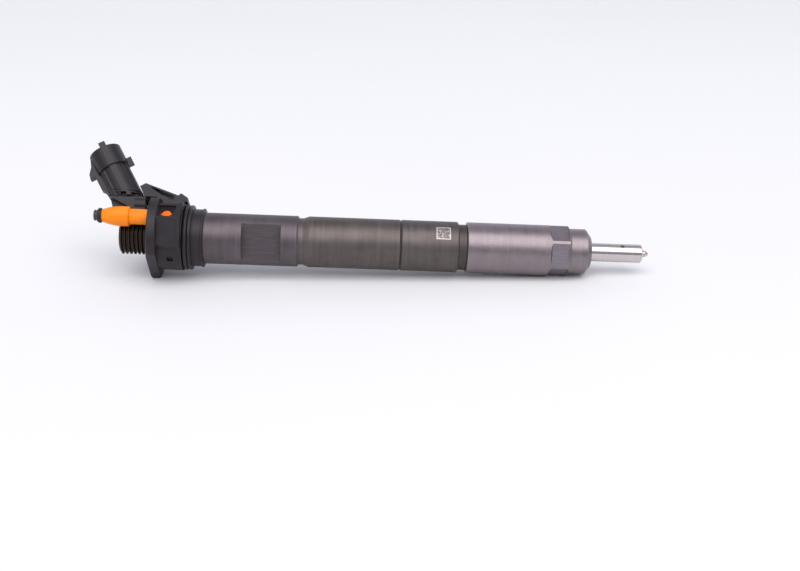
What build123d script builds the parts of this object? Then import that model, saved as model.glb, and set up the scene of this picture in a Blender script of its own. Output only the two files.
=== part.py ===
from build123d import *
import os
from math import cos, radians, sin, tan

# Common-rail diesel injector with a piezo actuator, lying on its side. All sizes are in mm.
#
# Frame: X runs along the injector. X = 0 is the end face of the nozzle retaining nut, the
# spray tip points to +X and the fuel inlet to -X. Angles round the injector are its own:
# 0 is the side that carries the data field and the flats, 90 is a quarter turn up from it.
# The injector lies rolled by ROLL, so its own angle 0 points ROLL above the horizontal -Y.

ROLL = 22.0

# Stations along the injector
INLET_END = -175.3
INLET_SEAT = -173.3
FILTER_BORE_END = -160.5
PASSAGE_BEND = -117.0
THREAD_END = -165.8
CORE_START = -165.0
FLANGE_FRONT = -164.2
FLANGE_BACK = -160.7
BOSS_END = -153.4
BARREL_END = -151.9
SEAL_GROOVE_END = -149.7
COLLAR_START = -148.7
CORE_END = -148.0
HEAD_END = -144.4
FLATS_START = -130.5
FLATS_END = -116.0
RELIEF_START = -109.8
RELIEF_END = -105.8
MARK_GROOVE = -71.7
NECK_START = -50.1
NUT_START = -46.9
NUT_THREAD_START = -45.0
NUT_THREAD_END = -33.0
BODY_FACE = -24.0
VALVE_PLATE_FACE = -19.0
THROTTLE_FACE = -16.0
NUT_SEAT = -3.0
HEX_START = -15.3
HEX_END = -8.6
SHANK_END = 20.0
TIP_END = 22.7

# Radii and widths
BODY_R = 9.5
NECK_R = 8.5
RELIEF_R = 8.7
HEAD_CORE_R = 7.5
COLLAR_CORE_R = 9.2
FLATS_HALF = 6.3
HEX_HALF = 8.5
INLET_R = 7.0
INLET_PITCH = 1.5
INLET_DEPTH = 0.92
NUT_THREAD_R = 8.0
NUT_THREAD_DEPTH = 0.6
NUT_THREAD_PITCH = 1.0
THREAD_PLAY = 0.05
PLATE_R = 7.2
SHANK_R = 3.5
FUEL_R = 0.8
FUEL_OFFSET = 5.9
FLANGE_R = 15.8
FLANGE_FOOT = 15.4
FLANGE_SIDE = 12.8
FLANGE_CREST = 13.7
BARREL_R = 12.3
RING_R = 12.0
COLLAR_R = 10.6
SEAL_GROOVE_R = 10.2
SEAL_WIRE = 0.95

# Directions round the injector
CONNECTOR_ANGLE = 107.0
SPIGOT_ANGLE = 35.5
FLATS_ANGLE = -11.5
HEX_ANGLE = -13.0
FUEL_ANGLE = CONNECTOR_ANGLE + 180.0
DOWN_ANGLE = -90.0 - ROLL
FLANGE_SIDE_ANGLE = -63.0

# Actuator bore, eccentric towards the connector
BORE_R = 5.0
BORE_OFFSET = 1.5
BORE_END = -112.0
PIN_SPREAD = 1.4
PIN_OFFSET = 3.3
PIN_R = 0.45
INSULATOR_R = 0.8
PIN_TOP = -157.4

# Coupler and servo valve
LARGE_PISTON_R = 3.0
SMALL_PISTON_R = 2.6
PISTON_FIT = 0.02
SLEEVE_TOP = -44.0
SLEEVE_FOOT = -29.0
COUPLER_R = 4.5
VALVE_STEM_R = 1.0
VALVE_HEAD_R = 1.6
VALVE_SEAT = -21.6

# Nozzle
NEEDLE_R = 2.0
NEEDLE_FIT = 0.02
NEEDLE_TOP = -14.6
SHAFT_R = 1.4
NOZZLE_BORE_R = 2.1
SAC_R = 0.5
TIP_R = 1.3
TIP_DOME_R = 0.7
SPRAY_HOLES = 8
SPRAY_HOLE_R = 0.1

# Return spigot, parallel to the injector
SPIGOT_OFFSET = 11.2
SPIGOT_BARREL_R = 3.65
SPIGOT_SHANK_R = 2.85
SPIGOT_NECK_R = 1.85
SPIGOT_STEM_R = 1.72
SPIGOT_BORE_R = 0.9
SPIGOT_NECK_END = -182.3
SPIGOT_TAPER_END = -180.8
SPIGOT_BARREL_END = -174.0
SPIGOT_STEP = -171.1
SPIGOT_SEAT = -162.7
SPIGOT_SEAL_END = -160.9
SPIGOT_INNER_END = -155.5
LEAK_X = -158.6
LUG_R = 1.6
WINDOW_R = 2.1
LUG_X = -157.4
LUG_HEIGHT = 2.05
POCKET_HEIGHT = 2.2
POCKET_ANGLE = 47.0
POCKET_WIDTH = 6.0
POCKET_SHIFT = 0.3

# Electrical connector
CONNECTOR_BASE_X = -173.05
CONNECTOR_BASE_R = 12.45
CONNECTOR_LEAN = 29.5
CONNECTOR_LENGTH = 23.2
CONNECTOR_COLLAR_R = 6.1
CONNECTOR_COLLAR_START = 15.2
CONNECTOR_FOOT = -1.6
CONNECTOR_NECK_R = 5.3
CONNECTOR_REACH = 5.9
SOCKET_R = 4.4
SOCKET_FLOOR = 11.0
TERMINAL_TOP = 16.8
TERMINAL_FOOT = 1.1
SADDLE_TIP = -180.4
SADDLE_END = -162.7
SADDLE_TOP = 14.0
SADDLE_DEPTH = 6.0
SADDLE_HALF_WIDTH = 5.3
SHOULDER_START = -170.8
SHOULDER_HALF_WIDTH = 5.8
WEB_HALF_WIDTH = 3.0
RAMP_HALF_WIDTH = 4.5
RAMP_TOP = 17.5

X_DIR = Vector(1, 0, 0)


def radial(angle):
    """Unit vector away from the injector's axis at one of its own angles."""
    turned_by = radians(angle + ROLL)
    return Vector(0, -cos(turned_by), sin(turned_by))


def at(x, angle=0.0, distance=0.0):
    """Point at a station, and a distance from the axis at one of the injector's angles."""
    return X_DIR * x + radial(angle) * distance


def across(x):
    """Cross-section plane: its x is the injector's angle 0, its y angle 90, its z is -X."""
    return Plane(origin=(x, 0, 0), x_dir=radial(0), z_dir=(-1, 0, 0))


def facing(x, angle, distance):
    """Plane with its x along the injector, which faces outward at an angle."""
    return Plane(origin=at(x, angle, distance), x_dir=X_DIR, z_dir=radial(angle))


def lengthwise(angle=0.0, distance=0.0):
    """Plane through a line parallel to the axis: x along the injector, y radially outward."""
    side = radial(angle)
    return Plane(origin=side * distance, x_dir=X_DIR, z_dir=X_DIR.cross(side))


def on_spigot(x, height):
    """Plane above the spigot's axis that faces out of the boss's pocket."""
    side = radial(POCKET_ANGLE)
    axis_point = at(x, SPIGOT_ANGLE, SPIGOT_OFFSET)
    return Plane(origin=axis_point + side * height, x_dir=X_DIR, z_dir=side)


def connector_point(height, side):
    """(x, radius) of a point at a height along the connector, and a distance beside it."""
    lean = radians(CONNECTOR_LEAN)
    x = CONNECTOR_BASE_X - height * sin(lean) + side * cos(lean)
    return (x, CONNECTOR_BASE_R + height * cos(lean) + side * sin(lean))


def connector_plane(height):
    """Section of the connector: x towards angle 17, y towards +X, z out of the mouth."""
    lean = radians(CONNECTOR_LEAN)
    along = radial(CONNECTOR_ANGLE) * cos(lean) - X_DIR * sin(lean)
    base = at(CONNECTOR_BASE_X, CONNECTOR_ANGLE, CONNECTOR_BASE_R)
    side = radial(CONNECTOR_ANGLE - 90)
    return Plane(origin=base + along * height, x_dir=side, z_dir=along)


BORE_LINE = lengthwise(CONNECTOR_ANGLE, BORE_OFFSET)
SPIGOT_LINE = lengthwise(SPIGOT_ANGLE, SPIGOT_OFFSET)
AXIS_LINE = lengthwise()


def turn(outline, line=AXIS_LINE, mode=Mode.ADD):
    """Turn an outline of (x, radius) points about a line parallel to the injector."""
    with BuildSketch(line) as section:
        with BuildLine():
            Polyline(*outline, close=True)
        make_face()
    revolve(section.sketch, axis=Axis(line.origin, X_DIR), mode=mode)


def ring(x_start, x_end, inner, outer, line=AXIS_LINE, mode=Mode.ADD):
    """A washer-shaped solid between two stations."""
    turn([(x_start, inner), (x_end, inner), (x_end, outer), (x_start, outer)], line, mode)


def bore(start, end, radius):
    """Drill a straight round hole from one point to another."""
    with BuildSketch(Plane(origin=start, z_dir=end - start)) as section:
        Circle(radius)
    extrude(section.sketch, amount=(end - start).length, mode=Mode.SUBTRACT)


def rod(start, end, radius):
    """A straight round rod from one point to another."""
    with BuildSketch(Plane(origin=start, z_dir=end - start)) as section:
        Circle(radius)
    extrude(section.sketch, amount=(end - start).length)


def prism(plane, outline, amount, mode=Mode.ADD, both=False):
    """Extrude a closed outline of points from a plane."""
    with BuildSketch(plane) as section:
        with BuildLine():
            Polyline(*outline, close=True)
        make_face()
    extrude(section.sketch, amount=amount, mode=mode, both=both)


def block(plane, width, height, amount, mode=Mode.ADD):
    """Extrude a rectangle centred on a plane."""
    with BuildSketch(plane) as section:
        Rectangle(width, height)
    extrude(section.sketch, amount=amount, mode=mode)


def thread_points(x_start, x_end, crest, depth, pitch):
    """Crests and roots of a screw thread in section, from one station to another."""
    points = []
    for turn_number in range(int((x_end - x_start) / pitch)):
        x = x_start + turn_number * pitch
        points.append((x, crest - depth))
        points.append((x + 0.12 * pitch, crest - depth))
        points.append((x + 0.42 * pitch, crest))
        points.append((x + 0.58 * pitch, crest))
        points.append((x + 0.88 * pitch, crest - depth))
    return points


def coil(x_start, x_end, radius, wire, pitch, line=AXIS_LINE):
    """A helical compression spring between two stations, with the wire's radius given."""
    start = line.origin + X_DIR * (x_start + wire)
    with BuildLine() as path:
        Helix(pitch, x_end - x_start - 2 * wire, radius, center=start, direction=X_DIR)
    with BuildSketch(Plane(origin=path.line @ 0, z_dir=path.line % 0)) as section:
        Circle(wire)
    sweep(section.sketch, path=path.line, is_frenet=True)


# Sideways places of the two contact pins
PIN_SHIFTS = [radial(CONNECTOR_ANGLE - 90) * spread for spread in (-PIN_SPREAD, PIN_SPREAD)]

# Angles of the two dowels
DOWEL_SIDES = (FUEL_ANGLE - 70, FUEL_ANGLE + 70)

# ---- Steel body: inlet thread, head core, shank with flats, lower end with the nut thread ----
with BuildPart() as injector_body:
    turn(
        [(INLET_END, 0)]
        + thread_points(INLET_END, THREAD_END, INLET_R, INLET_DEPTH, INLET_PITCH)
        + [
            (THREAD_END, INLET_R - INLET_DEPTH),
            (CORE_START, INLET_R - INLET_DEPTH),
            (CORE_START, HEAD_CORE_R),
            (CORE_END, HEAD_CORE_R),
            (CORE_END, COLLAR_CORE_R),
            (HEAD_END, COLLAR_CORE_R),
            (HEAD_END, BODY_R),
            (RELIEF_START - 0.45, BODY_R),
            (RELIEF_START, BODY_R - 0.3),
            (RELIEF_START, RELIEF_R),
            (RELIEF_START + 1.8, RELIEF_R),
            (RELIEF_END, BODY_R),
            (MARK_GROOVE - 0.5, BODY_R),
            (MARK_GROOVE, BODY_R - 0.45),
            (MARK_GROOVE + 0.5, BODY_R),
            (NECK_START - 0.4, BODY_R),
            (NECK_START, BODY_R - 0.4),
            (NECK_START, NECK_R),
            (NUT_START - 0.2, NECK_R),
            (NUT_START - 0.2, NUT_THREAD_R - NUT_THREAD_DEPTH),
        ]
        + thread_points(
            NUT_THREAD_START,
            NUT_THREAD_END,
            NUT_THREAD_R - THREAD_PLAY,
            NUT_THREAD_DEPTH,
            NUT_THREAD_PITCH,
        )
        + [
            (NUT_THREAD_END, NUT_THREAD_R - THREAD_PLAY - NUT_THREAD_DEPTH),
            (BODY_FACE, NUT_THREAD_R - THREAD_PLAY - NUT_THREAD_DEPTH),
            (BODY_FACE, 0),
        ]
    )
    for side in (FLATS_ANGLE, FLATS_ANGLE + 180):
        middle = (FLATS_START + FLATS_END) / 2
        block(facing(middle, side, FLATS_HALF), FLATS_END - FLATS_START, 30, 8, Mode.SUBTRACT)
    # sealing cone and filter bore of the inlet
    turn(
        [(INLET_END, 0), (INLET_END, 4.6), (INLET_SEAT, 2.6), (INLET_SEAT, 0)],
        mode=Mode.SUBTRACT,
    )
    bore(at(INLET_END), at(FILTER_BORE_END), 2.5)
    # high-pressure passage, oblique and then along the wall opposite the actuator bore
    bend = at(PASSAGE_BEND, FUEL_ANGLE, FUEL_OFFSET)
    bore(at(FILTER_BORE_END - 0.5), bend + X_DIR, FUEL_R)
    bore(bend, at(BODY_FACE, FUEL_ANGLE, FUEL_OFFSET), FUEL_R)
    # eccentric actuator bore, its contact channels and its leak passage to the head
    ring(BORE_END, BODY_FACE, 0, BORE_R, BORE_LINE, Mode.SUBTRACT)
    for sideways in PIN_SHIFTS:
        bore(
            at(BORE_END + 1, CONNECTOR_ANGLE, PIN_OFFSET) + sideways,
            at(-156.0, CONNECTOR_ANGLE, PIN_OFFSET) + sideways,
            INSULATOR_R,
        )
    block(facing(-154.5, CONNECTOR_ANGLE, PIN_OFFSET - 1.0), 10, 6.4, 8, Mode.SUBTRACT)
    bore(at(BORE_END + 1, SPIGOT_ANGLE, 4.6), at(LEAK_X - 0.4, SPIGOT_ANGLE, 4.6), 0.6)
    bore(at(LEAK_X, SPIGOT_ANGLE, 4.0), at(LEAK_X, SPIGOT_ANGLE, 9.0), 0.6)
    # dowel holes in the lower face
    for side in DOWEL_SIDES:
        bore(at(-26.0, side, FUEL_OFFSET), at(BODY_FACE, side, FUEL_OFFSET), 0.5)

# ---- Nozzle retaining nut ----
with BuildPart() as retaining_nut:
    turn(
        [
            (NUT_START, NUT_THREAD_R + 0.15),
            (NUT_START, BODY_R - 0.3),
            (NUT_START + 0.3, BODY_R),
            (HEX_END, BODY_R),
            (HEX_END + 0.5, NECK_R),
            (-1.9, NECK_R),
            (0, 6.1),
            (0, SHANK_R + 0.4),
            (NUT_SEAT, SHANK_R + 0.4),
            (NUT_SEAT, PLATE_R + 0.1),
            (BODY_FACE, PLATE_R + 0.1),
            (BODY_FACE, NUT_THREAD_R - 0.45),
            (NUT_THREAD_END - 0.2, NUT_THREAD_R - 0.45),
            (NUT_THREAD_END - 0.2, NUT_THREAD_R + THREAD_PLAY),
            (NUT_THREAD_START - 0.4, NUT_THREAD_R + THREAD_PLAY),
            (NUT_THREAD_START - 0.4, NUT_THREAD_R + 0.15),
        ]
    )
    # hexagon facets, each with a slanted run-out towards the shaft
    for number in range(6):
        prism(
            lengthwise(HEX_ANGLE + 60 * number),
            [
                (HEX_START - 0.8, BODY_R + 0.1),
                (HEX_START, HEX_HALF),
                (HEX_END, HEX_HALF),
                (HEX_END, BODY_R + 1),
                (HEX_START - 0.8, BODY_R + 1),
            ],
            6,
            mode=Mode.SUBTRACT,
            both=True,
        )
    # internal thread: ridges that stand in the roots of the body's thread
    for turn_number in range(11):
        x = NUT_THREAD_START + (turn_number + 1) * NUT_THREAD_PITCH
        turn(
            [
                (x - 0.38 * NUT_THREAD_PITCH, NUT_THREAD_R + 0.1),
                (x - 0.06 * NUT_THREAD_PITCH, NUT_THREAD_R - 0.5),
                (x + 0.06 * NUT_THREAD_PITCH, NUT_THREAD_R - 0.5),
                (x + 0.38 * NUT_THREAD_PITCH, NUT_THREAD_R + 0.1),
            ]
        )

# ---- Nozzle body: shoulder in the nut, long shank, domed tip with spray holes ----
with BuildPart() as nozzle_body:
    with BuildSketch(AXIS_LINE) as section:
        with BuildLine():
            Polyline(
                (THROTTLE_FACE, 0),
                (THROTTLE_FACE, PLATE_R - 0.1),
                (NUT_SEAT, PLATE_R - 0.1),
                (NUT_SEAT, SHANK_R - 0.2),
                (0, SHANK_R - 0.2),
                (0, SHANK_R),
                (SHANK_END - 0.5, SHANK_R),
                (SHANK_END, SHANK_R - 0.5),
                (SHANK_END, TIP_R + 0.35),
                (SHANK_END + 0.4, TIP_R),
                (SHANK_END + 1.2, TIP_R),
                (TIP_END - 0.3, TIP_DOME_R),
                (TIP_END, 0.3),
                (TIP_END, 0),
            )
            Line((TIP_END, 0), (THROTTLE_FACE, 0))
        make_face()
    revolve(axis=Axis.X)
    turn(
        [
            (THROTTLE_FACE, 0),
            (THROTTLE_FACE, 3.4),
            (-4.6, 3.4),
            (-3.3, NOZZLE_BORE_R),
            (17.6, NOZZLE_BORE_R),
            (20.2, SAC_R),
            (21.2, SAC_R),
            (21.5, 0.25),
            (21.5, 0),
        ],
        mode=Mode.SUBTRACT,
    )
    bore(
        at(THROTTLE_FACE, FUEL_ANGLE, FUEL_OFFSET),
        at(-7.0, FUEL_ANGLE, 2.6),
        FUEL_R,
    )
    for number in range(SPRAY_HOLES):
        side = number * 360 / SPRAY_HOLES
        bore(at(20.9, side, 0.2), at(21.6, side, 2.0), SPRAY_HOLE_R)

# ---- Needle, with the collar for its spring, its control sleeve and the spring ----
with BuildPart() as nozzle_needle:
    turn(
        [
            (NEEDLE_TOP, 0),
            (NEEDLE_TOP, NEEDLE_R - 0.3),
            (NEEDLE_TOP + 0.3, NEEDLE_R),
            (-10.0, NEEDLE_R),
            (-10.0, 1.5),
            (-5.0, 1.5),
            (-5.0, NEEDLE_R),
            (-2.0, NEEDLE_R),
            (-1.0, SHAFT_R),
            (9.0, SHAFT_R),
            (9.6, NOZZLE_BORE_R - NEEDLE_FIT),
            (13.6, NOZZLE_BORE_R - NEEDLE_FIT),
            (14.2, SHAFT_R),
            (18.66, SHAFT_R),
            (20.3, 0.39),
            (20.6, 0),
        ]
    )
    # flats on the lower guide let the fuel pass
    for number in range(4):
        block(facing(11.6, 90 * number + 45, 1.62), 6, 4, 2, Mode.SUBTRACT)

with BuildPart() as needle_sleeve:
    turn(
        [
            (THROTTLE_FACE, NEEDLE_R + NEEDLE_FIT),
            (-11.6, NEEDLE_R + NEEDLE_FIT),
            (-11.6, 3.1),
            (THROTTLE_FACE + 0.5, 3.1),
            (THROTTLE_FACE, 2.5),
        ]
    )

with BuildPart() as spring_ring:
    ring(-6.0, -5.0, 1.55, 3.05)

with BuildPart() as needle_spring:
    coil(-11.3, -6.05, 2.6, 0.38, 1.25)

# ---- Throttle plate and valve plate ----
with BuildPart() as throttle_plate:
    ring(VALVE_PLATE_FACE, THROTTLE_FACE, 0, PLATE_R)
    bore(
        at(VALVE_PLATE_FACE, FUEL_ANGLE, FUEL_OFFSET),
        at(THROTTLE_FACE, FUEL_ANGLE, FUEL_OFFSET),
        FUEL_R,
    )
    bore(at(VALVE_PLATE_FACE), at(THROTTLE_FACE), 0.25)
    bore(at(THROTTLE_FACE - 1.0), at(THROTTLE_FACE), 0.8)
    bore(at(-17.5, FUEL_ANGLE, FUEL_OFFSET), at(THROTTLE_FACE, FUEL_ANGLE, 1.2), 0.2)
    for side in DOWEL_SIDES:
        bore(at(VALVE_PLATE_FACE, side, FUEL_OFFSET), at(-17.5, side, FUEL_OFFSET), 0.5)

with BuildPart() as valve_plate:
    ring(BODY_FACE, VALVE_PLATE_FACE, 0, PLATE_R)
    bore(
        at(BODY_FACE, FUEL_ANGLE, FUEL_OFFSET),
        at(VALVE_PLATE_FACE, FUEL_ANGLE, FUEL_OFFSET),
        FUEL_R,
    )
    ring(BODY_FACE, VALVE_SEAT, 0, VALVE_STEM_R + PISTON_FIT, BORE_LINE, Mode.SUBTRACT)
    turn(
        [
            (VALVE_SEAT - 0.4, 0),
            (VALVE_SEAT - 0.4, VALVE_STEM_R + PISTON_FIT),
            (VALVE_SEAT, 1.5),
            (VALVE_SEAT, 2.2),
            (VALVE_PLATE_FACE, 2.2),
            (VALVE_PLATE_FACE, 0),
        ],
        BORE_LINE,
        Mode.SUBTRACT,
    )
    bore(at(-22.5, CONNECTOR_ANGLE, BORE_OFFSET), at(BODY_FACE, CONNECTOR_ANGLE, 4.6), 0.4)
    for side in DOWEL_SIDES:
        bore(at(BODY_FACE, side, FUEL_OFFSET), at(VALVE_PLATE_FACE, side, FUEL_OFFSET), 0.5)

with BuildPart() as dowel_pins:
    for side in DOWEL_SIDES:
        rod(at(-25.5, side, FUEL_OFFSET), at(-17.7, side, FUEL_OFFSET), 0.48)

# ---- Servo valve ----
with BuildPart() as valve_pin:
    turn(
        [
            (-24.3, 0),
            (-24.3, VALVE_STEM_R),
            (-22.4, VALVE_STEM_R),
            (-22.4, 0.7),
            (VALVE_SEAT, 0.7),
            (VALVE_SEAT + 0.03, VALVE_HEAD_R),
            (-20.7, VALVE_HEAD_R),
            (-20.7, 0.8),
            (-20.1, 0.8),
            (-20.1, 0),
        ],
        BORE_LINE,
    )

with BuildPart() as valve_spring:
    coil(-20.6, -19.1, 1.2, 0.16, 0.5, BORE_LINE)

# ---- Hydraulic coupler ----
with BuildPart() as coupler_sleeve:
    turn(
        [
            (SLEEVE_TOP, LARGE_PISTON_R + PISTON_FIT),
            (SLEEVE_TOP, COUPLER_R - 0.3),
            (SLEEVE_TOP + 0.3, COUPLER_R),
            (SLEEVE_FOOT - 0.3, COUPLER_R),
            (SLEEVE_FOOT, COUPLER_R - 0.3),
            (SLEEVE_FOOT, SMALL_PISTON_R + PISTON_FIT),
            (-36.6, SMALL_PISTON_R + PISTON_FIT),
            (-36.6, LARGE_PISTON_R + PISTON_FIT),
        ],
        BORE_LINE,
    )

with BuildPart() as coupler_small_piston:
    turn(
        [
            (-36.4, 0),
            (-36.4, SMALL_PISTON_R - 0.2),
            (-36.2, SMALL_PISTON_R),
            (-26.4, SMALL_PISTON_R),
            (-26.4, 4.2),
            (-25.5, 4.2),
            (-25.5, 1.6),
            (-24.3, 1.6),
            (-24.3, 0),
        ],
        BORE_LINE,
    )

with BuildPart() as coupler_large_piston:
    turn(
        [
            (-36.8, 0),
            (-36.8, LARGE_PISTON_R - 0.2),
            (-37.0, LARGE_PISTON_R),
            (-46.9, LARGE_PISTON_R),
            (-46.9, 4.2),
            (-48.0, 4.2),
            (-48.0, 0),
        ],
        BORE_LINE,
    )

with BuildPart() as coupler_lower_spring:
    coil(-28.9, -26.5, 3.5, 0.3, 0.85, BORE_LINE)

with BuildPart() as coupler_upper_spring:
    coil(-46.75, -44.1, 3.7, 0.3, 0.95, BORE_LINE)

# ---- Piezo actuator ----
with BuildPart() as actuator_foot:
    turn(
        [(-48.0, 0), (-48.0, 3.6), (-48.6, 4.4), (-50.5, 4.4), (-50.5, 0)],
        BORE_LINE,
    )

STACK_HALF = 2.75
STACK_TOP = -98.5
ACTUATOR_FOOT_TOP = -50.5

with BuildPart() as piezo_stack:
    with BuildSketch(Plane(BORE_LINE.origin + X_DIR * ACTUATOR_FOOT_TOP, radial(0), -X_DIR)):
        RectangleRounded(2 * STACK_HALF, 2 * STACK_HALF, 0.3)
    extrude(amount=ACTUATOR_FOOT_TOP - STACK_TOP)

with BuildPart() as stack_electrodes:
    for side in (0, 180):
        middle = (ACTUATOR_FOOT_TOP + STACK_TOP) / 2
        plane = Plane(
            BORE_LINE.origin + X_DIR * (middle - 0.5) + radial(side) * STACK_HALF,
            X_DIR,
            radial(side),
        )
        block(plane, STACK_TOP * -1 + ACTUATOR_FOOT_TOP - 3, 1.6, 0.25)

with BuildPart() as actuator_tube_spring:
    ring(STACK_TOP, ACTUATOR_FOOT_TOP, 4.15, 4.45, BORE_LINE)
    # staggered rows of slots make the tube springy
    for row in range(11):
        for column in range(4):
            side = column * 90 + (row % 2) * 45
            plane = Plane(
                BORE_LINE.origin + X_DIR * (STACK_TOP + 4.0 + row * 4.0) + radial(side) * 3.0,
                X_DIR,
                radial(side),
            )
            with BuildSketch(plane):
                RectangleRounded(1.4, 3.6, 0.6)
            extrude(amount=3, mode=Mode.SUBTRACT)

with BuildPart() as actuator_sleeve:
    ring(-100.5, -49.0, 4.55, 4.85, BORE_LINE)

with BuildPart() as actuator_head:
    turn(
        [
            (STACK_TOP, 0),
            (STACK_TOP, 4.5),
            (-100.5, 4.5),
            (-100.5, 4.9),
            (-104.0, 4.9),
            (-104.0, 3.5),
            (-107.0, 3.5),
            (-107.0, 4.8),
            (-108.0, 4.8),
            (-108.0, 0),
        ],
        BORE_LINE,
    )
    for sideways in PIN_SHIFTS:
        bore(
            at(-108.0, CONNECTOR_ANGLE, PIN_OFFSET) + sideways,
            at(STACK_TOP, CONNECTOR_ANGLE, PIN_OFFSET) + sideways,
            PIN_R,
        )

with BuildPart() as actuator_seal_ring:
    with BuildSketch(BORE_LINE):
        with Locations((-105.5, 4.25)):
            Circle(0.72)
    revolve(axis=Axis(BORE_LINE.origin, X_DIR))

with BuildPart() as contact_pins:
    for sideways in PIN_SHIFTS:
        rod(
            at(STACK_TOP - 0.2, CONNECTOR_ANGLE, PIN_OFFSET) + sideways,
            at(PIN_TOP, CONNECTOR_ANGLE, PIN_OFFSET) + sideways,
            PIN_R,
        )

with BuildPart() as pin_insulators:
    for sideways in PIN_SHIFTS:
        start = at(-108.3, CONNECTOR_ANGLE, PIN_OFFSET) + sideways
        end = at(-150.0, CONNECTOR_ANGLE, PIN_OFFSET) + sideways
        rod(start, end, INSULATOR_R - 0.03)
        bore(start, end, PIN_R)

# ---- Edge filter pressed into the inlet ----
FILTER_START = -171.6
FILTER_END = -161.1

with BuildPart() as inlet_edge_filter:
    ring(FILTER_START, FILTER_END, 0, 2.48)
    # grooves open in turn at the inlet end and at the outlet end
    for number in range(8):
        shift = 0.75 if number % 2 else -0.75
        middle = (FILTER_START + FILTER_END) / 2 + shift
        length = FILTER_END - FILTER_START - 1.5
        block(facing(middle, 45 * number, 1.9), length, 0.7, 1, Mode.SUBTRACT)

# ---- Plastic head: flange, boss for the return spigot, barrel, collar and connector saddle ----
SADDLE_PLANE = lengthwise(CONNECTOR_ANGLE)

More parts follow.
